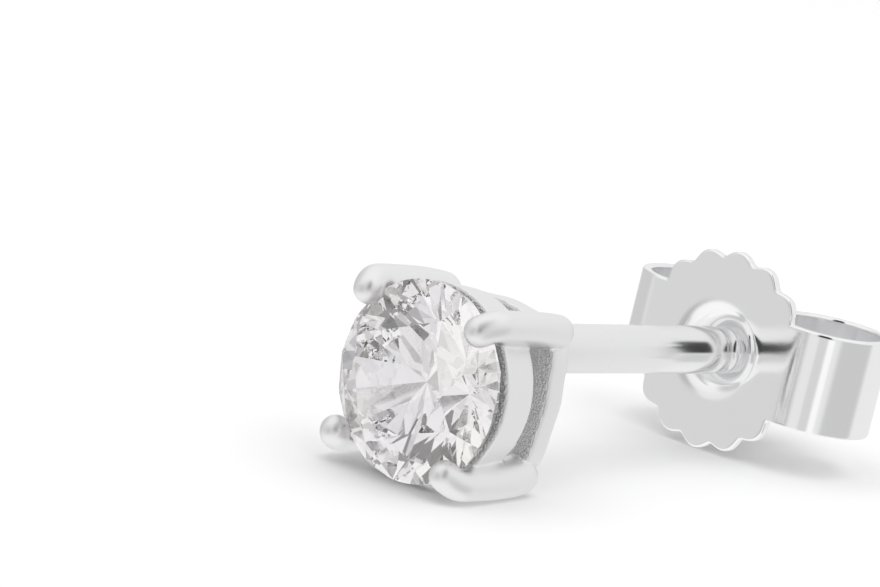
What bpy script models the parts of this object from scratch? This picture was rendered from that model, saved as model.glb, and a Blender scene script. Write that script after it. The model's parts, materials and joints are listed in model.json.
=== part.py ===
"""A four-claw stud earring: a round brilliant in a two-rail setting, its post, and a push-on scroll clutch."""

import math

import bmesh
import bpy
import numpy as np
from mathutils import Vector

MM = 0.001

# The stone, a round brilliant
STONE_DIAMETER = 4.0 * MM
TABLE_DIAMETER = 2.24 * MM
GIRDLE_HEIGHT = 0.12 * MM
CROWN_ANGLE = math.radians(34.5)
PAVILION_ANGLE = math.radians(40.8)
STAR_REACH = 0.5
LOWER_HALF_REACH = 0.76
MAIN_FACETS = 8
GIRDLE_STEPS_PER_HALF = 4
STONE_CLEARANCE = 0.03 * MM
CUTTER_POINT = 0.02 * MM

# The claws
CLAWS = 4
FIRST_CLAW_ANGLE = math.radians(45)
CLAW_DIAMETER = 0.63 * MM
CLAW_DEPTH = 0.83 * MM
CLAW_STANDOFF = 0.26 * MM
CLAW_LEAN = 0.2 * MM
LEAN_POWER = 3
CLAW_TIP_RISE = 0.36 * MM
CLAW_TIP_INSET = 0.21 * MM
CLAW_BEND_LENGTH = 0.4 * MM
CLAW_FOOT_ROUND = 0.28 * MM
CLAW_FOOT_SHORT = 0.12 * MM

# The upper rail, which carries the stone
UPPER_RAIL_START = 0.27 * MM
UPPER_RAIL_HEIGHT = 1.0 * MM
UPPER_RAIL_TAPER = 0.13 * MM
UPPER_RAIL_WALL = 0.4 * MM

# The base rail, which flares out to each claw
WINDOW_HEIGHT = 0.6 * MM
BASE_RAIL_HEIGHT = 0.55 * MM
BASE_RAIL_DIAMETER = 3.42 * MM
BASE_RAIL_WALL = 0.47 * MM
BASE_RAIL_FLARE = 0.29 * MM
FLARE_SHARPNESS = 2
RAIL_EDGE_ROUND = 0.07 * MM

# The post and the bridge that it stands on
POST_DIAMETER = 1.0 * MM
POST_LENGTH = 10.0 * MM
POST_RISE = 0.7 * MM
POST_TIP_ROUND = 0.3 * MM
BRIDGE_RECESS = 0.05 * MM
BRIDGE_THICKNESS = 0.32 * MM
BRIDGE_MARGIN = 0.05 * MM
POST_ROOT = 0.2 * MM
GROOVE_WIDTH = 0.5 * MM
GROOVE_DEPTH = 0.08 * MM
GROOVE_FULLNESS = 0.6

# The clutch, stamped and rolled from one sheet
CLUTCH_GAP = 7.05 * MM
SHEET = 0.2 * MM
DISC_DIAMETER = 4.25 * MM
SCALLOP_DEPTH = 0.16 * MM
SCALLOPS_PER_SIDE = 5
ARM_WIDTH = 2.1 * MM
CLUTCH_WIDTH = 6.0 * MM
SCROLL_DEPTH = 2.75 * MM
GRIP_CLEARANCE = 0.04 * MM
HOLE_CLEARANCE = 0.05 * MM
DISH_DIAMETER = 2.16 * MM
DISH_DEPTH = 0.5 * MM
DISH_STEEPNESS = 2.2
SCROLL_END = math.radians(318)
SCROLL_TIGHTENING = 0.16 * MM
TIGHTENING_POWER = 1.5

EMPTY_SIZE = 1 * MM

# How finely round shapes are divided
CLAW_SIDES = 16
RAIL_STEPS = 56
POST_SIDES = 32
SEAT_STEPS = 48
CORNER_STEPS = 3
FOOT_STEPS = 4
LEG_STEPS = 3
BEND_STEPS = 4
DOME_STEPS = 4
DOME_START = 0.2
DOME_END = 0.96
GROOVE_STEPS = 8
POST_TIP_STEPS = 6
DISH_SIDES = 64
DISH_RINGS = 6
SCALLOP_STEPS = 8
ARM_COLUMNS = 3
SCROLL_STEPS = 34

FULL_TURN = 2 * math.pi
QUARTER = math.pi / 2
SHARP_ANGLE = math.radians(35)

# How it rests, in kilograms per cubic metre and in the rolls that are tried
SILVER_DENSITY = 10400
STONE_DENSITY = 5900
MOST_ROLL = math.radians(12)
ROLL_STEPS = 120
SETTLE_PASSES = 6


def clear_scene():
    for thing in list(bpy.data.objects):
        bpy.data.objects.remove(thing, do_unlink=True)


def around(along, radius, angle):
    """A point at this distance behind the girdle, this far from the head's axis."""
    return Vector((along, radius * math.cos(angle), radius * math.sin(angle)))


def steps(count, start=0.0, end=1.0):
    return [start + (end - start) * i / count for i in range(count + 1)]


def finish_mesh(name, bm):
    bmesh.ops.remove_doubles(bm, verts=bm.verts, dist=1e-7)
    bmesh.ops.recalc_face_normals(bm, faces=bm.faces)
    mesh = bpy.data.meshes.new(name)
    bm.to_mesh(mesh)
    bm.free()
    return mesh


def place(name, mesh, parent, material=None):
    obj = bpy.data.objects.new(name, mesh)
    bpy.context.scene.collection.objects.link(obj)
    obj.parent = parent
    if material:
        mesh.materials.append(material)
        mesh.shade_smooth()
        mesh.set_sharp_from_angle(angle=SHARP_ANGLE)
    return obj


def make_helper(obj):
    """A shape that only joins or cuts another is left out of the render."""
    obj.hide_render = True
    obj.display_type = "WIRE"
    return obj


def make_empty(name, parent=None, location=(0, 0, 0)):
    empty = bpy.data.objects.new(name, None)
    bpy.context.scene.collection.objects.link(empty)
    empty.empty_display_size = EMPTY_SIZE
    empty.parent = parent
    empty.location = location
    return empty


def skin(name, rings, closed=False):
    """A solid through rings of points: capped at both ends, or closed on itself."""
    bm = bmesh.new()
    loops = [[bm.verts.new(p) for p in ring] for ring in rings]
    pairs = list(zip(loops, loops[1:]))
    if closed:
        pairs.append((loops[-1], loops[0]))
    else:
        bm.faces.new(loops[0])
        bm.faces.new(loops[-1])
    for near, far in pairs:
        for i in range(len(near)):
            j = (i + 1) % len(near)
            bm.faces.new((near[i], near[j], far[j], far[i]))
    return finish_mesh(name, bm)


def rounded(corners, radius):
    """The outline of a ring's section, (along, radius) points, with its corners rounded."""
    outline = []
    for i, corner in enumerate(corners):
        here = Vector(corner)
        back = (Vector(corners[i - 1]) - here).normalized()
        ahead = (Vector(corners[(i + 1) % len(corners)]) - here).normalized()
        half = back.angle(ahead) / 2
        reach = radius / math.tan(half)
        centre = here + (back + ahead).normalized() * radius / math.sin(half)
        start = here + back * reach - centre
        end = here + ahead * reach - centre
        for share in steps(CORNER_STEPS):
            spoke = (start * (1 - share) + end * share).normalized()
            outline.append(centre + spoke * radius)
    return outline


def ring_mesh(name, corners, flare=0.0):
    """A rail: its section turned about the head's axis, flaring out at each claw."""
    section = rounded(corners, RAIL_EDGE_ROUND)
    rings = []
    for angle in steps(RAIL_STEPS, 0, FULL_TURN)[:-1]:
        nearness = (1 + math.cos(CLAWS * (angle - FIRST_CLAW_ANGLE))) / 2
        swell = flare * nearness**FLARE_SHARPNESS
        rings.append([around(p[0], p[1] + swell, angle) for p in section])
    return skin(name, rings, closed=True)


def turned_mesh(name, profile, sides, centre=(0, 0)):
    """A solid turned about a line along X, from (along, radius) points."""
    rings = []
    for along, radius in profile:
        ring = []
        for angle in steps(sides, 0, FULL_TURN)[:-1]:
            across = centre[0] + radius * math.cos(angle)
            up = centre[1] + radius * math.sin(angle)
            ring.append(Vector((along, across, up)))
        rings.append(ring)
    return skin(name, rings)


def stone_sizes():
    """Heights of the stone's parts, from its diameters and angles."""
    radius = STONE_DIAMETER / 2
    crown = (radius - TABLE_DIAMETER / 2) * math.tan(CROWN_ANGLE)
    pavilion = radius * math.tan(PAVILION_ANGLE)
    return radius, crown, pavilion


def main_plane_height(radius, distance, off_angle, slope_angle):
    """Height above the girdle's edge of a main facet's plane, off_angle to the side of its middle."""
    return (radius - distance * math.cos(off_angle)) * math.tan(slope_angle)


def plane_height(corners, across, up):
    """Where the plane through three (across, up, height) corners is at (across, up)."""
    a, b, c = (Vector(p) for p in corners)
    normal = (b - a).cross(c - a)
    return a.z - (normal.x * (across - a.x) + normal.y * (up - a.y)) / normal.z


def half_facet_rim(radius, tip, start, end):
    """The curved edge of a half facet on the round girdle: its points from start to end."""
    flat = [
        (radius * math.cos(start), radius * math.sin(start), 0.0),
        (radius * math.cos(end), radius * math.sin(end), 0.0),
    ]
    rim = []
    for angle in steps(GIRDLE_STEPS_PER_HALF, start, end):
        across = radius * math.cos(angle)
        up = radius * math.sin(angle)
        height = plane_height((tip, flat[0], flat[1]), across, up)
        rim.append((across, up, height))
    return rim


def stone_side(bm, radius, slope_angle, inner_radius, tip_radius, direction):
    """One side of the stone, crown or pavilion: kite-shaped mains and the paired half facets. Returns its girdle rim."""

    def vertex(across, up, height):
        return bm.verts.new((direction * (GIRDLE_HEIGHT / 2 + height), across, up))

    pitch = FULL_TURN / MAIN_FACETS
    tip_height = main_plane_height(radius, tip_radius, pitch / 2, slope_angle)
    inner_height = main_plane_height(radius, inner_radius, 0, slope_angle)
    tips = []
    inner = []
    rims = []
    for i in range(MAIN_FACETS):
        middle = i * pitch
        side = middle + pitch / 2
        tip = (tip_radius * math.cos(side), tip_radius * math.sin(side), tip_height)
        tips.append(vertex(*tip))
        inner.append(
            vertex(
                inner_radius * math.cos(middle),
                inner_radius * math.sin(middle),
                inner_height,
            )
        )
        near = half_facet_rim(radius, tip, middle, side)
        far = half_facet_rim(radius, tip, side, middle + pitch)
        rims.append([vertex(*p) for p in near + far[1:]])
    for i in range(MAIN_FACETS):
        half = GIRDLE_STEPS_PER_HALF
        bm.faces.new([tips[i]] + rims[i][: half + 1])
        bm.faces.new([tips[i]] + rims[i][half:])
        bm.faces.new((inner[i], tips[i - 1], rims[i][0], tips[i]))
        if direction < 0:
            bm.faces.new((inner[i - 1], inner[i], tips[i - 1]))
    if direction < 0:
        bm.faces.new(inner)
    return [v for rim in rims for v in rim[:-1]]


def stone_mesh():
    """A round brilliant with its table towards -X and its culet towards +X."""
    radius = STONE_DIAMETER / 2
    table = TABLE_DIAMETER / 2
    pitch = FULL_TURN / MAIN_FACETS
    table_edge = table * math.cos(pitch / 2)
    star_tip = table_edge + STAR_REACH * (radius - table_edge)
    lower_tip = (1 - LOWER_HALF_REACH) * radius
    bm = bmesh.new()
    front = stone_side(bm, radius, CROWN_ANGLE, table, star_tip, -1)
    back = stone_side(bm, radius, PAVILION_ANGLE, 0.0, lower_tip, 1)
    for i in range(len(front)):
        j = (i + 1) % len(front)
        bm.faces.new((front[i], front[j], back[j], back[i]))
    return finish_mesh("stone", bm)


def seat_cutter_mesh():
    """The stone's own round envelope, larger by its clearance, which cuts the seat and the claw notches."""
    radius, crown, pavilion = stone_sizes()
    gap = STONE_CLEARANCE
    half_girdle = GIRDLE_HEIGHT / 2
    crown_gap = gap * math.tan((QUARTER - CROWN_ANGLE) / 2)
    pavilion_gap = gap * math.tan((QUARTER - PAVILION_ANGLE) / 2)
    table = TABLE_DIAMETER / 2 + gap * math.tan(CROWN_ANGLE / 2)
    culet = half_girdle + pavilion + gap / math.cos(PAVILION_ANGLE)
    widest = (radius + gap) / math.cos(math.pi / SEAT_STEPS)
    profile = [
        (-half_girdle - crown - gap, table),
        (-half_girdle - crown_gap, widest),
        (half_girdle + pavilion_gap, widest),
        (culet, CUTTER_POINT),
    ]
    return turned_mesh("seat_cutter", profile, SEAT_STEPS)


def head_stations():
    """Distances behind the girdle of the rails' edges."""
    upper_back = UPPER_RAIL_START + UPPER_RAIL_HEIGHT
    base_front = upper_back + WINDOW_HEIGHT
    base_back = base_front + BASE_RAIL_HEIGHT
    return upper_back, base_front, base_back


def claw_line():
    """The claw's middle line from foot to tip, as (along, radius, thickness, depth inwards) rows."""
    radius = STONE_DIAMETER / 2
    thick = CLAW_DIAMETER / 2
    deepening = (CLAW_DEPTH - thick) / thick
    foot = head_stations()[2] - CLAW_FOOT_SHORT
    at_girdle = radius + CLAW_STANDOFF

    def leg(along):
        return at_girdle - CLAW_LEAN * max(along / foot, 0) ** LEAN_POWER

    rows = []
    for share in steps(FOOT_STEPS):
        turn = share * QUARTER
        along = foot - CLAW_FOOT_ROUND * (1 - math.cos(turn))
        width = thick - CLAW_FOOT_ROUND * (1 - math.sin(turn))
        rows.append((along, leg(along), width, width * deepening))
    tip = Vector((-CLAW_TIP_RISE, at_girdle - CLAW_TIP_INSET))
    bend_start = CLAW_BEND_LENGTH - CLAW_TIP_RISE
    deep_end = max(UPPER_RAIL_START, bend_start + thick / 2)
    for along in steps(LEG_STEPS, foot - CLAW_FOOT_ROUND, deep_end)[1:]:
        rows.append((along, leg(along), thick, thick * deepening))
    bend = Vector((bend_start, leg(bend_start)))
    middle = (bend_start - CLAW_TIP_RISE) / 2
    control = Vector((middle, leg(middle)))
    for share in steps(BEND_STEPS):
        ahead = control.lerp(tip, share)
        point = bend.lerp(control, share).lerp(ahead, share)
        rows.append((point.x, point.y, thick, thick))
    heading = (tip - control).normalized()
    for share in steps(DOME_STEPS, DOME_START, DOME_END):
        turn = share * QUARTER
        point = tip + heading * thick * math.sin(turn)
        width = thick * math.cos(turn)
        rows.append((point.x, point.y, width, width))
    return rows


def claw_mesh(name, angle):
    """One claw: a wire along its middle line, deeper inwards at the rails, foot rounded and tip domed."""
    rows = claw_line()
    rings = []
    for i, (along, radius, thick, inward) in enumerate(rows):
        before = Vector(rows[max(i - 1, 0)][:2])
        after = Vector(rows[min(i + 1, len(rows) - 1)][:2])
        heading = (after - before).normalized()
        if i < FOOT_STEPS:
            heading = Vector((-1, 0))
        ring = []
        for turn in steps(CLAW_SIDES, 0, FULL_TURN)[:-1]:
            out = math.cos(turn) * (thick if math.cos(turn) > 0 else inward)
            side = thick * math.sin(turn)
            centre = around(along + out * heading.y, radius - out * heading.x, angle)
            ring.append(centre + side * around(0, 1, angle + QUARTER))
        rings.append(ring)
    return skin(name, rings)


def upper_rail_mesh():
    upper_back = head_stations()[0]
    outer = STONE_DIAMETER / 2
    inner = outer - UPPER_RAIL_TAPER - UPPER_RAIL_WALL
    corners = [
        (UPPER_RAIL_START, outer),
        (upper_back, outer - UPPER_RAIL_TAPER),
        (upper_back, inner),
        (UPPER_RAIL_START, inner),
    ]
    return ring_mesh("upper_rail", corners)


def base_rail_mesh():
    base_front, base_back = head_stations()[1:]
    outer = BASE_RAIL_DIAMETER / 2
    corners = [
        (base_front, outer),
        (base_back, outer),
        (base_back, outer - BASE_RAIL_WALL),
        (base_front, outer - BASE_RAIL_WALL),
    ]
    return ring_mesh("base_rail", corners, BASE_RAIL_FLARE)


def bridge_mesh():
    """The bar across the base rail that the post stands on, its ends inside the rail's wall."""
    base_back = head_stations()[2]
    back = base_back - BRIDGE_RECESS
    front = back - BRIDGE_THICKNESS
    wall_middle = BASE_RAIL_DIAMETER / 2 - BASE_RAIL_WALL / 2
    reach = math.sqrt(max(wall_middle**2 - POST_RISE**2, (wall_middle / 2) ** 2))
    low = POST_RISE - POST_DIAMETER / 2 - BRIDGE_MARGIN
    high = min(POST_RISE + POST_DIAMETER / 2, wall_middle)
    rings = []
    for along in (front, back):
        ring = [(-reach, low), (reach, low), (reach, high), (-reach, high)]
        rings.append([Vector((along, across, up)) for across, up in ring])
    return skin("bridge", rings)


def post_profile():
    """(along, radius) points of the post: its root in the bridge, the groove and the rounded end."""
    base_back = head_stations()[2]
    radius = POST_DIAMETER / 2
    end = base_back + POST_LENGTH
    profile = [(base_back - POST_ROOT, radius)]
    for share in steps(GROOVE_STEPS, -1, 1):
        along = base_back + CLUTCH_GAP + share * GROOVE_WIDTH / 2
        sunk = GROOVE_DEPTH * math.cos(share * QUARTER) ** GROOVE_FULLNESS
        profile.append((along, radius - sunk))
    for share in steps(POST_TIP_STEPS):
        turn = share * QUARTER
        along = end - POST_TIP_ROUND * (1 - math.sin(turn))
        profile.append((along, radius - POST_TIP_ROUND * (1 - math.cos(turn))))
    return profile


def make_setting(parent, metal):
    """Rails, claws, bridge and post, soldered into one piece, with the seat cut for the stone."""
    setting = place("setting", upper_rail_mesh(), parent, metal)
    pieces = [place("base_rail", base_rail_mesh(), parent)]
    for i in range(CLAWS):
        angle = FIRST_CLAW_ANGLE + i * FULL_TURN / CLAWS
        name = "claw_%d" % (i + 1)
        pieces.append(place(name, claw_mesh(name, angle), parent))
    pieces.append(place("bridge", bridge_mesh(), parent))
    post = turned_mesh("post", post_profile(), POST_SIDES, (0, POST_RISE))
    pieces.append(place("post", post, parent))
    cutter = place("seat_cutter", seat_cutter_mesh(), parent)
    for piece in pieces + [cutter]:
        joint = setting.modifiers.new(piece.name, "BOOLEAN")
        joint.operation = "DIFFERENCE" if piece is cutter else "UNION"
        joint.solver = "EXACT"
        joint.object = make_helper(piece)
        piece.data.shade_smooth()
        piece.data.set_sharp_from_angle(angle=SHARP_ANGLE)
    return setting


def disc_outline():
    """The scalloped edge between the arms, on the side of +Z, as angles and radii."""
    tip = DISC_DIAMETER / 2
    valley = tip - SCALLOP_DEPTH
    arm_angle = math.asin(ARM_WIDTH / 2 / valley)
    count = SCALLOPS_PER_SIDE * SCALLOP_STEPS
    outline = []
    for i, angle in enumerate(steps(count, arm_angle, math.pi - arm_angle)):
        bump = abs(math.sin(math.pi * i / SCALLOP_STEPS))
        outline.append((angle, valley + SCALLOP_DEPTH * bump))
    return outline


def dish_depth(radius):
    """How far the dished centre lies behind the flat of the disc: an S-shaped wall down to the hole."""
    outer = DISH_DIAMETER / 2
    inner = POST_DIAMETER / 2 + HOLE_CLEARANCE
    share = min(max((outer - radius) / (outer - inner), 0), 1)
    return DISH_DEPTH * math.sin(share * QUARTER) ** DISH_STEEPNESS


def scroll_line():
    """The middle of an arm's sheet from the disc's edge round to its free end, as (behind, across) points."""
    half_sheet = SHEET / 2
    reach = CLUTCH_WIDTH / 2 - half_sheet
    grip = POST_DIAMETER / 2 + GRIP_CLEARANCE + half_sheet
    wide = (reach - grip) / 2
    deep = (SCROLL_DEPTH - SHEET) / 2
    centre = (reach + grip) / 2
    line = []
    for turn in steps(SCROLL_STEPS, 0, SCROLL_END):
        past_grip = max(turn - 3 * QUARTER, 0) / QUARTER
        inset = SCROLL_TIGHTENING * past_grip**TIGHTENING_POWER
        behind = deep - (deep - inset) * math.cos(turn)
        line.append((behind, centre + (wide - inset) * math.sin(turn)))
    return line


def clutch_mesh():
    """The middle surface of the clutch's sheet, in its own frame: post axis on X, flat of the disc at x 0."""
    bm = bmesh.new()
    inner = POST_DIAMETER / 2 + HOLE_CLEARANCE
    outer = DISH_DIAMETER / 2
    rings = []
    for radius in steps(DISH_RINGS, inner, outer):
        depth = dish_depth(radius)
        ring = []
        for angle in steps(DISH_SIDES, 0, FULL_TURN)[:-1]:
            ring.append(bm.verts.new(around(depth, radius, angle)))
        rings.append(ring)
    for near, far in zip(rings, rings[1:]):
        for i in range(DISH_SIDES):
            j = (i + 1) % DISH_SIDES
            bm.faces.new((near[i], near[j], far[j], far[i]))
    edge = []
    roots = []
    for side in (1, -1):
        points = [around(0, r, a) * side for a, r in disc_outline()]
        scallops = [bm.verts.new(p) for p in points]
        across = -points[-1].y
        root = [scallops[-1]]
        for share in steps(ARM_COLUMNS)[1:-1]:
            up = points[-1].z * (1 - 2 * share)
            root.append(bm.verts.new((0, -across, up)))
        edge += scallops + root[1:]
        roots.append(root)
    starts = [edge[0], edge[len(edge) // 2]]
    roots[0].append(starts[1])
    roots[1].append(starts[0])
    border = [bm.edges.new((a, b)) for a, b in zip(edge, edge[1:] + edge[:1])]
    border += [bm.edges.get((a, b)) for a, b in zip(rings[-1], rings[-1][1:])]
    border.append(bm.edges.get((rings[-1][-1], rings[-1][0])))
    bmesh.ops.triangle_fill(bm, use_beauty=True, use_dissolve=False, edges=border)
    for root, side in zip(roots, (-1, 1)):
        last = root
        for behind, across in scroll_line():
            row = [bm.verts.new((behind, side * across, v.co.z)) for v in root]
            for i in range(ARM_COLUMNS):
                bm.faces.new((last[i], last[i + 1], row[i + 1], row[i]))
            last = row
    return finish_mesh("clutch", bm)


def make_clutch(parent, metal):
    """The clutch on the post, its sheet given its thickness."""
    obj = place("clutch", clutch_mesh(), parent, metal)
    obj.location = (head_stations()[2] + CLUTCH_GAP + SHEET / 2, 0, POST_RISE)
    sheet = obj.modifiers.new("sheet", "SOLIDIFY")
    sheet.thickness = SHEET
    sheet.offset = 0
    sheet.use_even_offset = True
    return obj


def make_material(name, color, metallic, roughness, transmission=0.0):
    material = bpy.data.materials.new(name)
    material.use_nodes = True
    shader = material.node_tree.nodes["Principled BSDF"]
    shader.inputs["Base Color"].default_value = (*color, 1)
    shader.inputs["Metallic"].default_value = metallic
    shader.inputs["Roughness"].default_value = roughness
    shader.inputs["Transmission Weight"].default_value = transmission
    return material


def weigh(obj, density):
    """The points, mass and centre of mass of this object's finished mesh, in the scene."""
    graph = bpy.context.evaluated_depsgraph_get()
    evaluated = obj.evaluated_get(graph)
    mesh = evaluated.to_mesh()
    mesh.calc_loop_triangles()
    points = np.array([evaluated.matrix_world @ v.co for v in mesh.vertices])
    faces = np.array([t.vertices for t in mesh.loop_triangles])
    evaluated.to_mesh_clear()
    first, second, third = (points[faces[:, i]] for i in range(3))
    shares = np.einsum("ij,ij->i", first, np.cross(second, third)) / 6
    middles = (first + second + third) / 4
    centre = (middles * shares[:, None]).sum(axis=0) / shares.sum()
    return points, shares.sum() * density, centre


def roll_over(points, roll):
    """Points turned about X."""
    turned = points.copy()
    turned[..., 1] = points[..., 1] * math.cos(roll) - points[..., 2] * math.sin(roll)
    turned[..., 2] = points[..., 1] * math.sin(roll) + points[..., 2] * math.cos(roll)
    return turned


def heights(points, dip):
    """Heights once the far end has dipped by this much about Y."""
    return points[..., 2] * math.cos(dip) - points[..., 0] * math.sin(dip)


def dip_at_rest(front, back):
    """The dip at which the head's and the clutch's lowest points are level."""
    dip = 0.0
    for _ in range(SETTLE_PASSES):
        low = front[heights(front, dip).argmin()]
        far = back[heights(back, dip).argmin()]
        dip = math.atan2(far[2] - low[2], far[0] - low[0])
    return dip


def set_down(stand, setting, stone, clutch):
    """Lays the earring as it comes to rest: on the roll that brings its centre of mass lowest."""
    bpy.context.view_layer.update()
    metal_points, metal_mass, metal_centre = weigh(setting, SILVER_DENSITY)
    stone_points, stone_mass, stone_centre = weigh(stone, STONE_DENSITY)
    back, clutch_mass, clutch_centre = weigh(clutch, SILVER_DENSITY)
    front = np.vstack([metal_points, stone_points])
    mass = metal_mass + stone_mass + clutch_mass
    centre = metal_centre * metal_mass + stone_centre * stone_mass
    centre = (centre + clutch_centre * clutch_mass) / mass
    best = None
    for roll in steps(ROLL_STEPS, 0, MOST_ROLL):
        rolled = roll_over(front, roll)
        dip = dip_at_rest(rolled, roll_over(back, roll))
        rise = heights(roll_over(centre, roll), dip) - heights(rolled, dip).min()
        if best is None or rise < best[0]:
            best = (rise, roll, dip)
    stand.rotation_euler = (best[1], best[2], 0)
    everything = roll_over(np.vstack([front, back]), best[1])
    up = heights(everything, best[2])
    along = everything[:, 0] * math.cos(best[2]) + everything[:, 2] * math.sin(best[2])
    across = everything[:, 1]
    middle = (along.min() + along.max()) / 2
    side = (across.min() + across.max()) / 2
    stand.location = (-middle, -side, -up.min())


def main():
    clear_scene()
    silver = make_material("polished_silver", (0.86, 0.86, 0.86), 1.0, 0.12)
    crystal = make_material("clear_stone", (1.0, 1.0, 1.0), 0.0, 0.0, 1.0)
    stand = make_empty("earring_stand")
    setting = make_setting(stand, silver)
    stone = place("stone", stone_mesh(), stand)
    stone.data.materials.append(crystal)
    clutch = make_clutch(stand, silver)
    set_down(stand, setting, stone, clutch)


main()
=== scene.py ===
import json
import math

import bmesh
import bpy
import numpy as np
from mathutils import Matrix, Vector


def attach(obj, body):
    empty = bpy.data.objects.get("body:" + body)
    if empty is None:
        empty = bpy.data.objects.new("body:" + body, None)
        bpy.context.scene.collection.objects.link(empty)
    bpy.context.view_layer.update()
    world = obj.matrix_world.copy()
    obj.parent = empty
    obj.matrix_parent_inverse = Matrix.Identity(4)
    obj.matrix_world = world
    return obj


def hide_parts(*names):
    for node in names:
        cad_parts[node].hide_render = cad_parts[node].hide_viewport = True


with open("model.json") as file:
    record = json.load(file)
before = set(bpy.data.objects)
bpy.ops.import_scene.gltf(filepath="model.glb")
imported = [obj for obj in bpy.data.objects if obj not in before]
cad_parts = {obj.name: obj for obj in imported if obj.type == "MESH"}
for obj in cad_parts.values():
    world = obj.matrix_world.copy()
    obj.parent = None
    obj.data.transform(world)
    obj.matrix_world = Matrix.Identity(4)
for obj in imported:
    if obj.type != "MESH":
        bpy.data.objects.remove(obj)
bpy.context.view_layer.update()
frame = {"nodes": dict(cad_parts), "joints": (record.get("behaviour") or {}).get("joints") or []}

# Everything is drawn in millimetres in the earring's own frame: X runs back along the post, Z goes up
# from the head's axis to the post's, and 0 is the middle of the stone's girdle. It is laid down at the end.
mm = 0.001
fullTurn = 2 * math.pi
quarter = math.pi / 2
sharpAngle = math.radians(50)  # an edge that is sharper than this keeps its line

stoneSize = {
    "diameter": 4.0,
    "table": 2.24,
    "girdle": 0.12,
    "culet": 0.01,
    "crownAngle": 34.5,
    "pavilionAngle": 40.8,
    "seatClearance": 0.03,
    "seatSides": 128,
}


# The earring's frame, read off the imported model

def findEarringFrame():
    joint = frame["joints"][0]
    along = Vector(joint["axis"]).normalized()
    stonePoints = [v.co for v in frame["nodes"]["stone"].data.vertices]
    culet = max(stonePoints, key=along.dot)
    pavilion = stoneSize["diameter"] / 2 * math.tan(math.radians(stoneSize["pavilionAngle"]))
    middle = culet - along * (stoneSize["girdle"] / 2 + pavilion) * mm
    up = Vector(joint["pos_m"]) - culet
    up = (up - along * up.dot(along)).normalized()
    side = up.cross(along)
    turn = Matrix((along, side, up)).transposed().to_4x4()
    return Matrix.Translation(middle) @ turn


earringFrame = findEarringFrame()
layDown = earringFrame @ Matrix.Scale(mm, 4)


def spread(start, end, count):
    return [start + (end - start) * i / count for i in range(count + 1)]


def around(along, radius, angle):  # a point at this distance from the head's axis
    return Vector((along, radius * math.cos(angle), radius * math.sin(angle)))


def bezier(start, middle, end, count):  # points on a curve bent towards middle
    points = []
    for share in spread(0, 1, count):
        points.append(start.lerp(middle, share).lerp(middle.lerp(end, share), share))
    return points


def skinRings(name, rings, closed=False):  # a mesh through rings of points, capped or closed on itself
    bm = bmesh.new()
    loops = [[bm.verts.new(p) for p in ring] for ring in rings]
    pairs = list(zip(loops, loops[1:]))
    if closed:
        pairs.append((loops[-1], loops[0]))
    else:
        bm.faces.new(loops[0])
        bm.faces.new(loops[-1])
    for near, far in pairs:
        for i in range(len(near)):
            j = (i + 1) % len(near)
            bm.faces.new((near[i], near[j], far[j], far[i]))
    bmesh.ops.recalc_face_normals(bm, faces=bm.faces)
    mesh = bpy.data.meshes.new(name)
    bm.to_mesh(mesh)
    bm.free()
    return mesh


def turnProfile(name, profile, sides, rise=0.0):  # (along, radius) points turned about a line along X
    rings = []
    for along, radius in profile:
        ring = [around(along, radius, a) for a in spread(0, fullTurn, sides)[:-1]]
        rings.append([p + Vector((0, 0, rise)) for p in ring])
    return skinRings(name, rings)


def addObject(name, mesh):
    obj = bpy.data.objects.new(name, mesh)
    bpy.context.scene.collection.objects.link(obj)
    return obj


def settle(obj):  # the object's modifiers are applied to its mesh
    graph = bpy.context.evaluated_depsgraph_get()
    mesh = bpy.data.meshes.new_from_object(obj.evaluated_get(graph))
    obj.modifiers.clear()
    obj.data = mesh
    return obj


def cutOrJoin(obj, tool, operation):
    step = obj.modifiers.new("step", "BOOLEAN")
    step.operation = operation
    step.solver = "MANIFOLD"
    step.object = tool
    settle(obj)
    bpy.data.objects.remove(tool)
    return obj


def joinLoose(name, meshes):  # several meshes in one, still overlapping
    bm = bmesh.new()
    for mesh in meshes:
        bm.from_mesh(mesh)
    joined = bpy.data.meshes.new(name)
    bm.to_mesh(joined)
    bm.free()
    return joined


def localPoints(mesh):  # points and normals as arrays
    points = np.empty(len(mesh.vertices) * 3, np.float32)
    normals = np.empty(len(mesh.vertices) * 3, np.float32)
    mesh.vertices.foreach_get("co", points)
    mesh.vertex_normals.foreach_get("vector", normals)
    return points.reshape(-1, 3), normals.reshape(-1, 3)


def fade(values, start, width):  # 0 up to start, rising to 1 over this width
    return np.clip((values - start) / width, 0, 1)


def markPoints(mesh, name, values):
    attribute = mesh.attributes.new(name, "FLOAT", "POINT")
    attribute.data.foreach_set("value", values.astype(np.float32))


# The head: two rails and four claws, cast in one, with a bridge for the post

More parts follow.
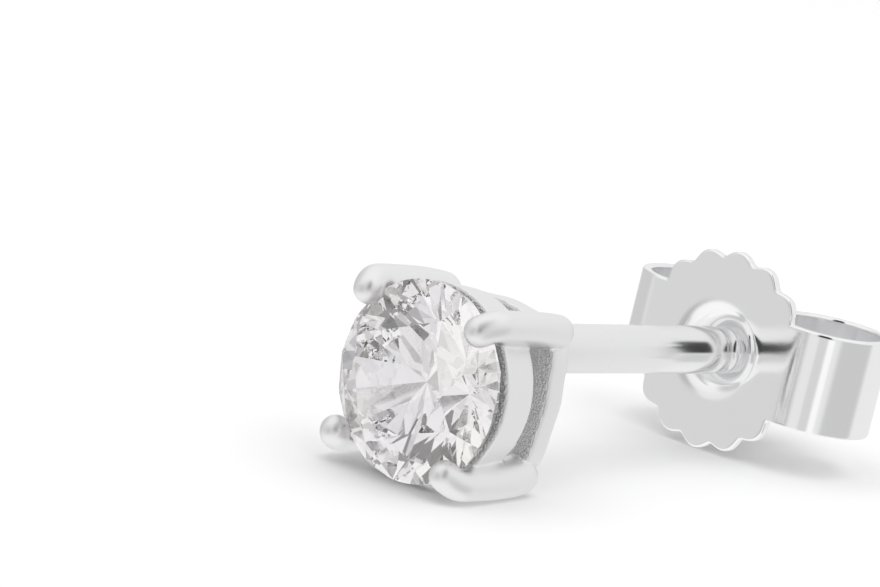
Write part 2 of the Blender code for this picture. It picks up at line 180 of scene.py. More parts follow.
headSize = {
    "claws": 4,
    "firstClaw": 45,
    "clawDiameter": 0.63,
    "clawDepth": 0.83,
    "clawStandoff": 0.26,
    "clawLean": 0.2,
    "leanPower": 3,
    "tipRise": 0.36,
    "tipInset": 0.21,
    "bendLength": 0.4,
    "domeStart": 0.1,
    "domeEnd": 0.98,
    "footRound": 0.28,
    "footShort": 0.12,
    "upperRailStart": 0.27,
    "upperRailHeight": 1.0,
    "upperRailTaper": 0.13,
    "upperRailWall": 0.4,
    "upperRailCorner": 0.07,
    "windowHeight": 0.6,
    "baseRailHeight": 0.55,
    "baseRailDiameter": 3.42,
    "baseRailWall": 0.47,
    "baseRailCorner": 0.09,
    "baseRailFlare": 0.29,
    "flareSharpness": 2,
    "bridgeRecess": 0.05,
    "bridgeThickness": 0.32,
    "bridgeMargin": 0.05,
    "castVoxel": 0.036,
    "polishStrength": 0.5,
    "polishPasses": 6,
    "rawFacing": 0.7,
    "rawFacingFade": 0.2,
    "rawRadius": 2.04,
    "rawRadiusFade": 0.06,
    "rawFront": -0.3,
    "rawPastBack": 0.05,
    "rawEndFade": 0.1,
    "clawSides": 40,
    "footSteps": 10,
    "legSteps": 12,
    "bendSteps": 12,
    "tipSteps": 10,
    "railSteps": 200,
    "cornerSteps": 4,
}

upperRailBack = headSize["upperRailStart"] + headSize["upperRailHeight"]
baseRailFront = upperRailBack + headSize["windowHeight"]
baseRailBack = baseRailFront + headSize["baseRailHeight"]

postSize = {
    "diameter": 1.0,
    "length": 10.0,
    "rise": 0.7,
    "tipRound": 0.3,
    "root": 0.2,
    "solderRise": 0.12,
    "solderHollow": 2.5,
    "grooveWidth": 0.5,
    "grooveDepth": 0.08,
    "grooveFullness": 0.6,
    "straightEnd": 0.03,
    "drawnFrom": 0.1,
    "drawnFade": 0.1,
    "sides": 96,
    "solderSteps": 6,
    "grooveSteps": 24,
    "tipSteps": 12,
}

clutchSize = {
    "gap": 7.05,
    "sheet": 0.2,
    "disc": 4.25,
    "scallopDepth": 0.16,
    "scallopsPerSide": 5,
    "valleySoftness": 0.25,
    "armWidth": 2.1,
    "width": 6.0,
    "scrollDepth": 2.75,
    "gripClearance": 0.04,
    "holeClearance": 0.05,
    "dish": 2.4,
    "dishDepth": 0.5,
    "dishSteepness": 2.5,
    "scrollEnd": 318,
    "scrollTightening": 0.16,
    "tighteningPower": 1.5,
    "edgeRound": 0.045,
    "scallopSteps": 14,
    "rootSteps": 26,
    "scrollSteps": 110,
    "dishSteps": 18,
    "flatSteps": 10,
    "edgeSteps": 3,
}


def railSection(start, end, outerStart, outerEnd, inner, cornerRound):
    corners = [Vector(c) for c in ((start, outerStart), (end, outerEnd), (end, inner), (start, inner))]
    outline = []
    for i, corner in enumerate(corners):
        back = (corners[i - 1] - corner).normalized() * cornerRound
        ahead = (corners[(i + 1) % 4] - corner).normalized() * cornerRound
        outline += bezier(corner + back, corner, corner + ahead, headSize["cornerSteps"])
    return outline


def rail(name, section, flare=0.0):  # its section turned about the head's axis, flaring out at each claw
    rings = []
    for angle in spread(0, fullTurn, headSize["railSteps"])[:-1]:
        nearness = (1 + math.cos(headSize["claws"] * (angle - math.radians(headSize["firstClaw"])))) / 2
        swell = flare * nearness ** headSize["flareSharpness"]
        rings.append([around(p.x, p.y + swell, angle) for p in section])
    return skinRings(name, rings, closed=True)


def clawLine():  # rows of (along, radius, thickness, depth inwards) from the foot to the domed tip
    size = headSize
    thick = size["clawDiameter"] / 2
    deepening = (size["clawDepth"] - thick) / thick
    atGirdle = stoneSize["diameter"] / 2 + size["clawStandoff"]
    foot = baseRailBack - size["footShort"]

    def leg(along):
        lean = size["clawLean"] * max(along / foot, 0) ** size["leanPower"]
        return Vector((along, atGirdle - lean))

    rows = []
    for turn in spread(0, quarter, size["footSteps"]):
        along = foot - size["footRound"] * (1 - math.cos(turn))
        width = thick - size["footRound"] * (1 - math.sin(turn))
        rows.append((*leg(along), width, width * deepening))
    for along in spread(foot - size["footRound"], size["upperRailStart"], size["legSteps"])[1:]:
        rows.append((*leg(along), thick, thick * deepening))
    tip = Vector((-size["tipRise"], atGirdle - size["tipInset"]))
    bendStart = size["bendLength"] - size["tipRise"]
    control = leg((bendStart - size["tipRise"]) / 2)
    for point in bezier(leg(bendStart), control, tip, size["bendSteps"]):
        rows.append((*point, thick, thick))
    heading = (tip - control).normalized()
    for share in spread(size["domeStart"], size["domeEnd"], size["tipSteps"]):
        point = tip + heading * thick * math.sin(share * quarter)
        narrowed = thick * math.cos(share * quarter)
        rows.append((*point, narrowed, narrowed))
    return rows


def claw(name, angle):
    rows = clawLine()
    rings = []
    for i, (along, radius, thick, inward) in enumerate(rows):
        before = Vector(rows[max(i - 1, 0)][:2])
        after = Vector(rows[min(i + 1, len(rows) - 1)][:2])
        heading = (after - before).normalized()
        if i <= headSize["footSteps"]:
            heading = Vector((-1, 0))
        ring = []
        for turn in spread(0, fullTurn, headSize["clawSides"])[:-1]:
            out = math.cos(turn) * (thick if math.cos(turn) > 0 else inward)
            centre = around(along + out * heading.y, radius - out * heading.x, angle)
            ring.append(centre + thick * math.sin(turn) * around(0, 1, angle + quarter))
        rings.append(ring)
    return skinRings(name, rings)


def stoneEnvelope():  # the stone's round outer shape and its clearance, which cuts the seat
    radius = stoneSize["diameter"] / 2
    gap = stoneSize["seatClearance"]
    crownSlope = math.tan(math.radians(stoneSize["crownAngle"]))
    pavilionSlope = math.tan(math.radians(stoneSize["pavilionAngle"]))
    halfGirdle = stoneSize["girdle"] / 2
    crown = (radius - stoneSize["table"] / 2) * crownSlope
    profile = [
        (-halfGirdle - crown - gap, stoneSize["table"] / 2 + gap),
        (-halfGirdle - gap / 2, radius + gap),
        (halfGirdle + gap / 2, radius + gap),
        (halfGirdle + radius * pavilionSlope + gap, stoneSize["culet"]),
    ]
    return turnProfile("stoneEnvelope", profile, stoneSize["seatSides"])


def buildHead():
    size = headSize
    outer = stoneSize["diameter"] / 2
    upper = railSection(
        size["upperRailStart"],
        upperRailBack,
        outer,
        outer - size["upperRailTaper"],
        outer - size["upperRailTaper"] - size["upperRailWall"],
        size["upperRailCorner"],
    )
    baseOuter = size["baseRailDiameter"] / 2
    base = railSection(
        baseRailFront,
        baseRailBack,
        baseOuter,
        baseOuter,
        baseOuter - size["baseRailWall"],
        size["baseRailCorner"],
    )
    meshes = [rail("baseRail", base, size["baseRailFlare"])]
    cutPieces = [rail("upperRail", upper)]
    for i in range(size["claws"]):
        angle = math.radians(size["firstClaw"]) + i * fullTurn / size["claws"]
        cutPieces.append(claw("claw%d" % i, angle))
    for mesh in cutPieces:
        piece = addObject(mesh.name, mesh)
        cutOrJoin(piece, addObject("seatCutter", stoneEnvelope()), "DIFFERENCE")
        meshes.append(piece.data)
        bpy.data.objects.remove(piece)
    meshes.append(bridge())
    head = addObject("cast_setting", joinLoose("cast_setting", meshes))
    remesh = head.modifiers.new("cast", "REMESH")  # rails, claws and bridge run into each other
    remesh.mode = "VOXEL"
    remesh.voxel_size = size["castVoxel"]
    remesh.use_smooth_shade = True
    polish = head.modifiers.new("polish", "SMOOTH")  # edges and corners are tumbled round
    polish.factor = size["polishStrength"]
    polish.iterations = size["polishPasses"]
    return settle(head)


def bridge():  # the bar across the base rail that the post stands on
    size = headSize
    back = baseRailBack - size["bridgeRecess"]
    front = back - size["bridgeThickness"]
    wallMiddle = size["baseRailDiameter"] / 2 - size["baseRailWall"] / 2
    reach = math.sqrt(wallMiddle**2 - postSize["rise"] ** 2)
    low = postSize["rise"] - postSize["diameter"] / 2 - size["bridgeMargin"]
    high = min(postSize["rise"] + postSize["diameter"] / 2, wallMiddle)
    rings = []
    for along in (front, back):
        ring = ((-reach, low), (reach, low), (reach, high), (-reach, high))
        rings.append([Vector((along, across, up)) for across, up in ring])
    return skinRings("bridge", rings)


def postProfile():
    size = postSize
    radius = size["diameter"] / 2
    end = baseRailBack + size["length"]
    profile = [(baseRailBack - size["root"], radius + size["solderRise"])]
    for share in spread(0, 1, size["solderSteps"]):  # the solder climbs a little way up the post
        along = baseRailBack - headSize["bridgeRecess"] + share * size["solderRise"]
        profile.append((along, radius + size["solderRise"] * (1 - share) ** size["solderHollow"]))
    groove = baseRailBack + clutchSize["gap"]
    reach = size["grooveWidth"] / 2
    straight = size["straightEnd"]  # rings just inside each straight stretch keep its shading even
    profile.append((profile[-1][0] + straight, radius))
    profile.append((groove - reach - straight, radius))
    for share in spread(-1, 1, size["grooveSteps"]):
        sunk = size["grooveDepth"] * math.cos(share * quarter) ** size["grooveFullness"]
        profile.append((groove + share * reach, radius - sunk))
    profile.append((groove + reach + straight, radius))
    profile.append((end - size["tipRound"] - straight, radius))
    for turn in spread(0, quarter, size["tipSteps"]):
        along = end - size["tipRound"] * (1 - math.sin(turn))
        profile.append((along, radius - size["tipRound"] * (1 - math.cos(turn))))
    return profile


def markFinishes(mesh):  # raw casting on the rails' faces towards the stone, drawn wire on the post
    size = headSize
    points, normals = localPoints(mesh)
    along = points[:, 0]
    radius = np.hypot(points[:, 1], points[:, 2])
    mask = fade(-normals[:, 0], size["rawFacing"], size["rawFacingFade"])
    mask *= fade(-radius, -size["rawRadius"], size["rawRadiusFade"])
    mask *= fade(along, size["rawFront"], size["rawEndFade"])
    mask *= fade(-along, -baseRailBack - size["rawPastBack"], size["rawEndFade"])
    wire = fade(along, baseRailBack + postSize["drawnFrom"], postSize["drawnFade"])
    markPoints(mesh, "castMask", mask)
    markPoints(mesh, "drawnWire", wire)


def buildSetting():
    setting = buildHead()
    post = turnProfile("post", postProfile(), postSize["sides"], postSize["rise"])
    cutOrJoin(setting, addObject("post", post), "UNION")
    setting.data.shade_smooth()
    setting.data.set_sharp_from_angle(angle=sharpAngle)
    markFinishes(setting.data)
    return setting


# The clutch: one sheet, stamped to a scalloped and dished disc, its two arms rolled back

def discOutline():  # the scallops between the arms on the side of +Z, then the straight root of an arm
    size = clutchSize
    tip = size["disc"] / 2
    valley = tip - size["scallopDepth"]
    halfArm = size["armWidth"] / 2
    armAngle = math.asin(halfArm / valley)
    soft = size["valleySoftness"]
    points = []
    count = size["scallopsPerSide"] * size["scallopSteps"]
    for i, angle in enumerate(spread(armAngle, math.pi - armAngle, count)):
        wave = math.sin(math.pi * i / size["scallopSteps"])
        bump = (math.hypot(wave, soft) - soft) / (math.hypot(1, soft) - soft)
        points.append(around(0, valley + size["scallopDepth"] * bump, angle))
    last = points[-1]
    for up in spread(last.z, -last.z, size["rootSteps"])[1:-1]:
        points.append(Vector((0, last.y, up)))
    return points


def dishDepth(radius):
    size = clutchSize
    outer = size["dish"] / 2
    inner = postSize["diameter"] / 2 + size["holeClearance"]
    share = min(max((outer - radius) / (outer - inner), 0), 1)
    return size["dishDepth"] * share ** size["dishSteepness"]


def scrollLine():  # (behind, across) points of an arm's sheet, from the disc round to its free end
    size = clutchSize
    half = size["sheet"] / 2
    reach = size["width"] / 2 - half
    grip = postSize["diameter"] / 2 + size["gripClearance"] + half
    wide = (reach - grip) / 2
    deep = (size["scrollDepth"] - size["sheet"]) / 2
    middle = (reach + grip) / 2
    line = []
    for turn in spread(0, math.radians(size["scrollEnd"]), size["scrollSteps"]):
        pastGrip = max(turn - 3 * quarter, 0) / quarter
        inset = size["scrollTightening"] * pastGrip ** size["tighteningPower"]
        behind = deep - (deep - inset) * math.cos(turn)
        line.append((behind, middle + (wide - inset) * math.sin(turn)))
    return line


def clutchSheet():  # the disc and the two arms as one sheet without thickness
    size = clutchSize
    half = discOutline()
    outline = half + [Vector((0, -p.y, -p.z)) for p in half]
    inner = postSize["diameter"] / 2 + size["holeClearance"]
    outer = size["dish"] / 2
    bm = bmesh.new()
    rings = []
    for radius in spread(inner, outer, size["dishSteps"]):
        ring = []
        for point in outline:
            flat = point.normalized() * radius
            ring.append(bm.verts.new(Vector((dishDepth(radius), flat.y, flat.z))))
        rings.append(ring)
    for share in spread(0, 1, size["flatSteps"])[1:]:
        ring = [p.normalized() * outer * (1 - share) + p * share for p in outline]
        rings.append([bm.verts.new(p) for p in ring])
    count = len(outline)
    for near, far in zip(rings, rings[1:]):
        for i in range(count):
            j = (i + 1) % count
            bm.faces.new((near[i], near[j], far[j], far[i]))
    edge = rings[-1]
    rootCount = size["rootSteps"] + 1
    rootStart = len(half) - rootCount + 1
    for first, side in ((rootStart, -1), (rootStart + len(half), 1)):
        root = [edge[(first + i) % count] for i in range(rootCount)]
        last = root
        for behind, across in scrollLine():
            row = [bm.verts.new((behind, side * across, v.co.z)) for v in root]
            for a, b, c, d in zip(last, last[1:], row[1:], row):
                bm.faces.new((a, b, c, d))
            last = row
    bmesh.ops.recalc_face_normals(bm, faces=bm.faces)
    mesh = bpy.data.meshes.new("rolled_clutch")
    bm.to_mesh(mesh)
    bm.free()
    return mesh


def buildClutch():
    size = clutchSize
    clutch = addObject("rolled_clutch", clutchSheet())
    sheet = clutch.modifiers.new("sheet", "SOLIDIFY")
    sheet.thickness = size["sheet"]
    sheet.offset = 0
    sheet.use_even_offset = True
    edges = clutch.modifiers.new("edges", "BEVEL")
    edges.width = size["edgeRound"]
    edges.segments = size["edgeSteps"]
    edges.limit_method = "ANGLE"
    edges.angle_limit = sharpAngle
    settle(clutch)
    seat = baseRailBack + size["gap"] + size["sheet"] / 2
    clutch.data.transform(Matrix.Translation((seat, 0, postSize["rise"])))
    clutch.data.shade_smooth()
    return clutch


# Finishes

def newGroup(name, inputs, outputs):
    group = bpy.data.node_groups.new(name, "ShaderNodeTree")
    for label, kind, value in inputs:
        socket = group.interface.new_socket(name=label, in_out="INPUT", socket_type=kind)
        if value is not None:
            socket.default_value = value
    for label, kind in outputs:
        group.interface.new_socket(name=label, in_out="OUTPUT", socket_type=kind)
    return group


def addNode(tree, kind, **settings):
    node = tree.nodes.new(kind)
    for name, value in settings.items():
        setattr(node, name, value)
    return node


polishLook = {
    "cloudDetail": 3,
    "markDetail": 2,
    "markFineness": 14.0,
    "markStretch": (0.12, 1.0, 1.0),
}


def makePolishGroup():  # faint wheel marks and mottling left by the last polish
    group = newGroup(
        "polishMarks",
        [
            ("Vector", "NodeSocketVector", None),
            ("Mark Scale", "NodeSocketFloat", 900.0),
            ("Base Roughness", "NodeSocketFloat", 0.12),
            ("Variation", "NodeSocketFloat", 0.06),
        ],
        [("Roughness", "NodeSocketFloat"), ("Height", "NodeSocketFloat")],
    )
    given = addNode(group, "NodeGroupInput")
    result = addNode(group, "NodeGroupOutput")
    clouds = addNode(group, "ShaderNodeTexNoise")
    clouds.inputs["Detail"].default_value = polishLook["cloudDetail"]
    marks = addNode(group, "ShaderNodeTexNoise")
    marks.inputs["Detail"].default_value = polishLook["markDetail"]
    marks.inputs["Scale"].default_value = 1.0
    scaled = addNode(group, "ShaderNodeVectorMath", operation="SCALE")
    drawnOut = addNode(group, "ShaderNodeVectorMath", operation="MULTIPLY")
    drawnOut.inputs[1].default_value = polishLook["markStretch"]
    finer = addNode(group, "ShaderNodeVectorMath", operation="SCALE")
    finer.inputs["Scale"].default_value = polishLook["markFineness"]
    rough = addNode(group, "ShaderNodeMath", operation="MULTIPLY_ADD")
    link = group.links.new
    link(given.outputs["Vector"], clouds.inputs["Vector"])
    link(given.outputs["Mark Scale"], clouds.inputs["Scale"])
    link(given.outputs["Vector"], scaled.inputs[0])
    link(given.outputs["Mark Scale"], scaled.inputs["Scale"])
    link(scaled.outputs[0], drawnOut.inputs[0])
    link(drawnOut.outputs[0], finer.inputs[0])
    link(finer.outputs[0], marks.inputs["Vector"])
    link(clouds.outputs["Fac"], rough.inputs[0])
    link(given.outputs["Variation"], rough.inputs[1])
    link(given.outputs["Base Roughness"], rough.inputs[2])
    link(rough.outputs[0], result.inputs["Roughness"])
    link(marks.outputs["Fac"], result.inputs["Height"])
    return group


grainLook = {
    "dustDetail": 4,
    "darkest": 0.35,
    "lightest": 0.65,
}


def makeGrainGroup():  # the sandy skin of raw casting: grains, pits and glints
    group = newGroup(
        "castGrain",
        [
            ("Vector", "NodeSocketVector", None),
            ("Scale", "NodeSocketFloat", 16000.0),
            ("Mask", "NodeSocketFloat", 1.0),
        ],
        [("Height", "NodeSocketFloat"), ("Shade", "NodeSocketFloat")],
    )
    given = addNode(group, "NodeGroupInput")
    result = addNode(group, "NodeGroupOutput")
    grains = addNode(group, "ShaderNodeTexVoronoi", feature="SMOOTH_F1")
    dust = addNode(group, "ShaderNodeTexNoise")
    dust.inputs["Detail"].default_value = grainLook["dustDetail"]
    both = addNode(group, "ShaderNodeMath", operation="ADD")
    height = addNode(group, "ShaderNodeMath", operation="MULTIPLY")
    shade = addNode(group, "ShaderNodeMapRange")
    shade.inputs["From Min"].default_value = grainLook["darkest"]
    shade.inputs["From Max"].default_value = grainLook["lightest"]
    link = group.links.new
    for node in (grains, dust):
        link(given.outputs["Vector"], node.inputs["Vector"])
        link(given.outputs["Scale"], node.inputs["Scale"])
    link(grains.outputs["Distance"], both.inputs[0])
    link(dust.outputs["Fac"], both.inputs[1])
    link(both.outputs[0], height.inputs[0])
    link(given.outputs["Mask"], height.inputs[1])
    link(dust.outputs["Fac"], shade.inputs["Value"])
    link(height.outputs[0], result.inputs["Height"])
    link(shade.outputs["Result"], result.inputs["Shade"])
    return group


castSilver = {
    "color": (0.925, 0.925, 0.928, 1),
    "rawColor": (0.88, 0.88, 0.88, 1),
    "roughness": 0.38,
    "wireRoughness": 0.08,
    "variation": 0.08,
    "markScale": 500.0,
    "markStrength": 0.03,
    "markDepth": 0.00001,
    "grainScale": 22000.0,
    "grainStrength": 0.9,
    "grainDepth": 0.00006,
    "grainRoughness": 0.15,
}

sheetSilver = {
    "color": (0.96, 0.96, 0.964, 1),
    "roughness": 0.09,
    "variation": 0.05,
    "markScale": 700.0,
    "markStrength": 0.05,
    "markDepth": 0.00001,
}

clearStone = {
    "ior": 2.17,
    "paintedFireScale": 700,
    # painted fire: pale pink, lavender and warm patches in the stone's base colour stand in for light split
    # into colours
    "paintedFireDetail": 1,
    "paintedFireColours": (
        (0.3, (0.955, 0.95, 1.0, 1)),
        (0.5, (1.0, 0.965, 0.97, 1)),
        (0.7, (1.0, 0.985, 0.94, 1)),
    ),
}


def newMaterial(name):
    material = bpy.data.materials.new(name)
    material.use_nodes = True
    tree = material.node_tree
    return material, tree, tree.nodes["Principled BSDF"]


def useGroup(tree, group, **values):
    node = addNode(tree, "ShaderNodeGroup", node_tree=group)
    for label, value in values.items():
        node.inputs[label.replace("_", " ")].default_value = value
    return node


def usePolish(tree, group, finish):
    return useGroup(
        tree,
        group,
        Mark_Scale=finish["markScale"],
        Base_Roughness=finish["roughness"],
        Variation=finish["variation"],
    )


def addBump(tree, height, strength, depth, under=None):  # one relief, on top of another if there is one
    bump = addNode(tree, "ShaderNodeBump")
    bump.inputs["Strength"].default_value = strength
    bump.inputs["Distance"].default_value = depth
    tree.links.new(height, bump.inputs["Height"])
    if under:
        tree.links.new(under, bump.inputs["Normal"])
    return bump.outputs["Normal"]


def makeCastSilver(polishGroup, grainGroup):
    material, tree, shader = newMaterial("castSilver")
    link = tree.links.new
    shader.inputs["Metallic"].default_value = 1
    place = addNode(tree, "ShaderNodeTexCoord")
    polish = usePolish(tree, polishGroup, castSilver)
    grain = useGroup(tree, grainGroup, Scale=castSilver["grainScale"])
    mask = addNode(tree, "ShaderNodeAttribute", attribute_name="castMask")
    link(place.outputs["Object"], polish.inputs["Vector"])
    link(place.outputs["Object"], grain.inputs["Vector"])
    link(mask.outputs["Fac"], grain.inputs["Mask"])
    rawShade = addNode(tree, "ShaderNodeMix", data_type="RGBA")
    rawShade.inputs["A"].default_value = castSilver["rawColor"]
    rawShade.inputs["B"].default_value = castSilver["color"]
    link(grain.outputs["Shade"], rawShade.inputs["Factor"])
    colour = addNode(tree, "ShaderNodeMix", data_type="RGBA")
    colour.inputs["A"].default_value = castSilver["color"]
    link(mask.outputs["Fac"], colour.inputs["Factor"])
    link(rawShade.outputs["Result"], colour.inputs["B"])
    link(colour.outputs["Result"], shader.inputs["Base Color"])
    drawnWire = addNode(tree, "ShaderNodeAttribute", attribute_name="drawnWire")
    smooth = addNode(tree, "ShaderNodeMix", data_type="FLOAT")
    smooth.inputs["B"].default_value = castSilver["wireRoughness"]
    link(drawnWire.outputs["Fac"], smooth.inputs["Factor"])
    link(polish.outputs["Roughness"], smooth.inputs["A"])
    rough = addNode(tree, "ShaderNodeMath", operation="MULTIPLY_ADD")
    rough.inputs[1].default_value = castSilver["grainRoughness"]
    link(mask.outputs["Fac"], rough.inputs[0])
    link(smooth.outputs["Result"], rough.inputs[2])
    link(rough.outputs[0], shader.inputs["Roughness"])
    marks = addBump(tree, polish.outputs["Height"], castSilver["markStrength"], castSilver["markDepth"])
    sandy = addBump(
        tree, grain.outputs["Height"], castSilver["grainStrength"], castSilver["grainDepth"], marks
    )
    link(sandy, shader.inputs["Normal"])
    return material


def makeSheetSilver(polishGroup):
    material, tree, shader = newMaterial("sheetSilver")
    link = tree.links.new
    shader.inputs["Metallic"].default_value = 1
    shader.inputs["Base Color"].default_value = sheetSilver["color"]
    place = addNode(tree, "ShaderNodeTexCoord")
    polish = usePolish(tree, polishGroup, sheetSilver)
    link(place.outputs["Object"], polish.inputs["Vector"])
    link(polish.outputs["Roughness"], shader.inputs["Roughness"])
    marks = addBump(tree, polish.outputs["Height"], sheetSilver["markStrength"], sheetSilver["markDepth"])
    link(marks, shader.inputs["Normal"])
    return material


def makeClearStone():
    material, tree, shader = newMaterial("clearStone")
    link = tree.links.new
    shader.inputs["Roughness"].default_value = 0
    shader.inputs["IOR"].default_value = clearStone["ior"]
    shader.inputs["Transmission Weight"].default_value = 1
    place = addNode(tree, "ShaderNodeTexCoord")
    # painted fire: patches of pale colour painted into the stone's base colour, in place of light split into
    # colours by the stone
    paintedFireNoise = addNode(tree, "ShaderNodeTexNoise")
    paintedFireNoise.inputs["Scale"].default_value = clearStone["paintedFireScale"]
    paintedFireNoise.inputs["Detail"].default_value = clearStone["paintedFireDetail"]
    paintedFire = addNode(tree, "ShaderNodeValToRGB")
    elements = paintedFire.color_ramp.elements
    elements.new(0.5)
    for element, (position, color) in zip(elements, clearStone["paintedFireColours"]):
        element.position = position
        element.color = color
    link(place.outputs["Object"], paintedFireNoise.inputs["Vector"])
    link(paintedFireNoise.outputs["Fac"], paintedFire.inputs["Fac"])
    link(paintedFire.outputs["Color"], shader.inputs["Base Color"])
    return material


# The studio: a pale floor, a soft white room and one soft lamp. What the metal and the stone mirror is one
# tone for each direction, above the earring and below it.

studio = {
    "floorSize": 1.2,
    "floorColor": (0.97, 0.97, 0.97, 1),
    "floorRoughness": 0.9,
    "toneBelow": 0.98,
    "toneLevel": 0.8,
    "toneAbove": 0.95,
    "belowAt": -50,
    "aboveAt": 60,
    "metalContrast": 1.0,
    "stoneContrast": 0.92,
    "lampSize": 0.3,
    "lampPlace": (-0.03, -0.03, 0.2),
    "lampPower": 0.17,
    "bounces": 32,
}

# Brighter and darker parts of the room, in degrees in the earring's frame: turned from -X towards +Y, and up
roomParts = [
    {"turn": 39, "halfTurn": 14, "height": -12, "halfHeight": 10, "soft": 14, "tone": 0.69},
    {"turn": 180, "halfTurn": 44, "height": 0, "halfHeight": 44, "soft": 10, "tone": 0.85},
    {"turn": -37, "halfTurn": 11, "height": 33, "halfHeight": 30, "soft": 6, "tone": 0.04},
    {"turn": -36, "halfTurn": 7, "height": -16, "halfHeight": 9, "soft": 4, "tone": 0.68},
    {"turn": -52, "halfTurn": 4, "height": -22, "halfHeight": 18, "soft": 4, "tone": 1.0},
    {"turn": -100, "halfTurn": 24, "height": -14, "halfHeight": 16, "soft": 12, "tone": 0.6},
    {"turn": 12, "halfTurn": 8, "height": -4, "halfHeight": 14, "soft": 14, "tone": 0.5},
    {"turn": 95, "halfTurn": 20, "height": 5, "halfHeight": 20, "soft": 20, "tone": 0.62},
]


def roomTone(tree, direction, contrast):  # the tone in each direction
    link = tree.links.new

    def maths(operation, *values):
        node = addNode(tree, "ShaderNodeMath", operation=operation)
        for socket, value in zip(node.inputs, values):
            if isinstance(value, (int, float)):
                socket.default_value = value
            else:
                link(value, socket)
        return node.outputs[0]

    def ramp(value, start, end, low, high):
        node = addNode(tree, "ShaderNodeMapRange", interpolation_type="SMOOTHSTEP")
        node.inputs["From Min"].default_value = start
        node.inputs["From Max"].default_value = end
        node.inputs["To Min"].default_value = low
        node.inputs["To Max"].default_value = high
        link(value, node.inputs["Value"])
        return node.outputs["Result"]

    parts = []
    for axis in earringFrame.to_3x3().col:
        node = addNode(tree, "ShaderNodeVectorMath", operation="DOT_PRODUCT")
        node.inputs[1].default_value = axis
        link(direction, node.inputs[0])
        parts.append(node.outputs["Value"])
    turn = maths("DEGREES", maths("ARCTAN2", parts[1], maths("MULTIPLY", parts[0], -1.0)))
    height = maths("DEGREES", maths("ARCSINE", parts[2]))
    below = ramp(height, studio["belowAt"], 0, studio["toneBelow"], studio["toneLevel"])
    above = ramp(height, 0, studio["aboveAt"], 0.0, studio["toneAbove"] - studio["toneLevel"])
    tone = maths("ADD", below, above)
    for part in roomParts:
        aside = maths("ABSOLUTE", maths("WRAP", maths("SUBTRACT", turn, part["turn"]), 180.0, -180.0))
        upDown = maths("ABSOLUTE", maths("SUBTRACT", height, part["height"]))
        across = ramp(aside, part["halfTurn"], part["halfTurn"] + part["soft"], 1.0, 0.0)
        along = ramp(upDown, part["halfHeight"], part["halfHeight"] + part["soft"], 1.0, 0.0)
        share = maths("MULTIPLY", maths("MULTIPLY", across, along), contrast)
        tone = maths("ADD", tone, maths("MULTIPLY", share, maths("SUBTRACT", part["tone"], tone)))
    return tone


def contrastByRay(tree):  # light that leaves the stone meets other tones than what the metal mirrors
    path = addNode(tree, "ShaderNodeLightPath")
    contrast = addNode(tree, "ShaderNodeMix", data_type="FLOAT")
    contrast.inputs["A"].default_value = studio["metalContrast"]
    contrast.inputs["B"].default_value = studio["stoneContrast"]
    tree.links.new(path.outputs["Is Transmission Ray"], contrast.inputs["Factor"])
    return contrast.outputs["Result"]


def buildRoom():
    world = bpy.data.worlds.new("softRoom")
    bpy.context.scene.world = world
    world.use_nodes = True
    tree = world.node_tree
    place = addNode(tree, "ShaderNodeTexCoord")
    tone = roomTone(tree, place.outputs["Generated"], contrastByRay(tree))
    tree.links.new(tone, tree.nodes["Background"].inputs["Color"])


def buildFloor():  # the metal and the stone mirror the room's tones instead of it
    half = studio["floorSize"] / 2
    mesh = bpy.data.meshes.new("studioFloor")
    corners = [(-half, -half, 0), (half, -half, 0), (half, half, 0), (-half, half, 0)]
    mesh.from_pydata(corners, [], [(0, 1, 2, 3)])
    floor = addObject("studioFloor", mesh)
    floor.visible_glossy = False
    floor.visible_transmission = False
    material, tree, shader = newMaterial("paleFloor")
    shader.inputs["Roughness"].default_value = studio["floorRoughness"]
    shader.inputs["Specular IOR Level"].default_value = 0.0
    shader.inputs["Base Color"].default_value = studio["floorColor"]
    mesh.materials.append(material)


def buildLamp():
    data = bpy.data.lights.new("softLamp", "AREA")
    data.shape = "DISK"
    data.size = studio["lampSize"]
    data.energy = studio["lampPower"]
    lamp = bpy.data.objects.new("softLamp", data)
    lamp.location = studio["lampPlace"]
    lamp.rotation_euler = (-lamp.location).to_track_quat("-Z", "Y").to_euler()
    lamp.visible_glossy = False
    lamp.visible_transmission = False
    bpy.context.scene.collection.objects.link(lamp)


# The camera, at the photo's angle to the earring. Its distance is in millimetres, and its back and up
# directions are in the earring's frame.

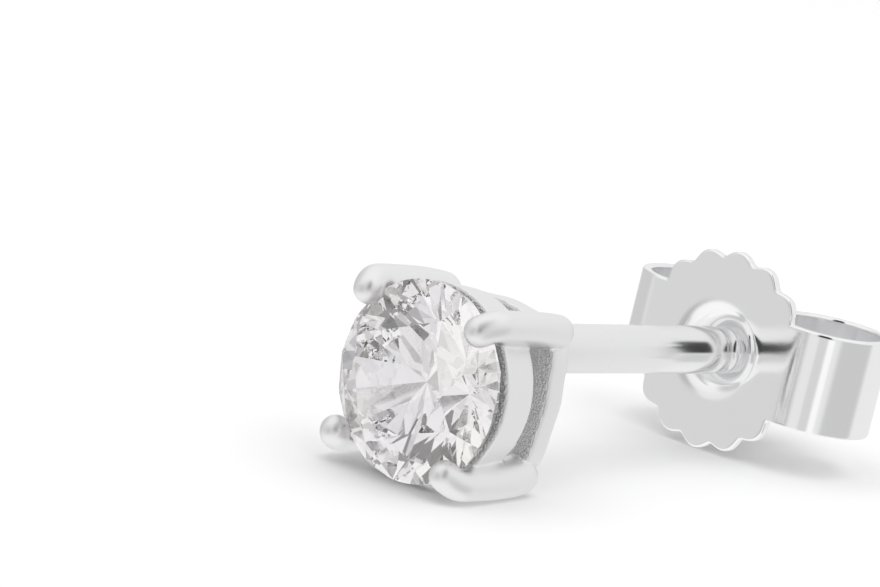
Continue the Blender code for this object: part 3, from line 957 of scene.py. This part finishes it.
photo = {
    "width": 880,
    "height": 587,
    "girdleAt": (418.7, 381.65),
    "focalPixels": 4724,
    "distance": 91.6,
    "back": (-0.769, -0.611, 0.190),
    "up": (0.0, 0.2975, 0.955),
    "sensor": 36,
    "nearest": 0.001,
    "farthest": 10,
}


def buildCamera():
    data = bpy.data.cameras.new("photoCamera")
    data.sensor_width = photo["sensor"]
    data.lens = photo["focalPixels"] * photo["sensor"] / photo["width"]
    data.clip_start = photo["nearest"]
    data.clip_end = photo["farthest"]
    camera = bpy.data.objects.new("photoCamera", data)
    bpy.context.scene.collection.objects.link(camera)
    bpy.context.scene.camera = camera
    back = Vector(photo["back"]).normalized()
    right = Vector(photo["up"]).cross(back).normalized()
    up = back.cross(right)
    straight = Matrix((right, up, back)).transposed()
    offset = (
        (photo["girdleAt"][0] - photo["width"] / 2) / photo["focalPixels"],
        (photo["height"] / 2 - photo["girdleAt"][1]) / photo["focalPixels"],
    )
    ray = Vector((*offset, -1)).normalized()
    swing = ray.rotation_difference(Vector((0, 0, -1))).to_matrix()
    turn = (earringFrame.to_3x3() @ straight @ swing).to_4x4()
    place = earringFrame @ (back * photo["distance"] * mm)
    camera.matrix_world = Matrix.Translation(place) @ turn


print("casting the setting")
castSetting = buildSetting()
print("rolling the clutch")
rolledClutch = buildClutch()
for piece in (castSetting, rolledClutch):
    piece.data.transform(layDown)

print("finishes")
polishMarks = makePolishGroup()
castGrain = makeGrainGroup()
stone = frame["nodes"]["stone"]
finishes = (
    (castSetting, makeCastSilver(polishMarks, castGrain)),
    (rolledClutch, makeSheetSilver(polishMarks)),
    (stone, makeClearStone()),
)
for piece, finish in finishes:
    piece.data.materials.clear()
    piece.data.materials.append(finish)

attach(castSetting, "stud")
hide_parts("setting")
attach(rolledClutch, "clutch")
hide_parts("clutch")

print("studio and camera")
buildRoom()
buildFloor()
buildLamp()
buildCamera()
scene = bpy.context.scene
scene.view_settings.view_transform = "Standard"
scene.cycles.max_bounces = studio["bounces"]
scene.cycles.transmission_bounces = studio["bounces"]
scene.cycles.glossy_bounces = studio["bounces"]

for piece in (castSetting, rolledClutch):
    print(piece.name, "triangles", sum(len(p.vertices) - 2 for p in piece.data.polygons))
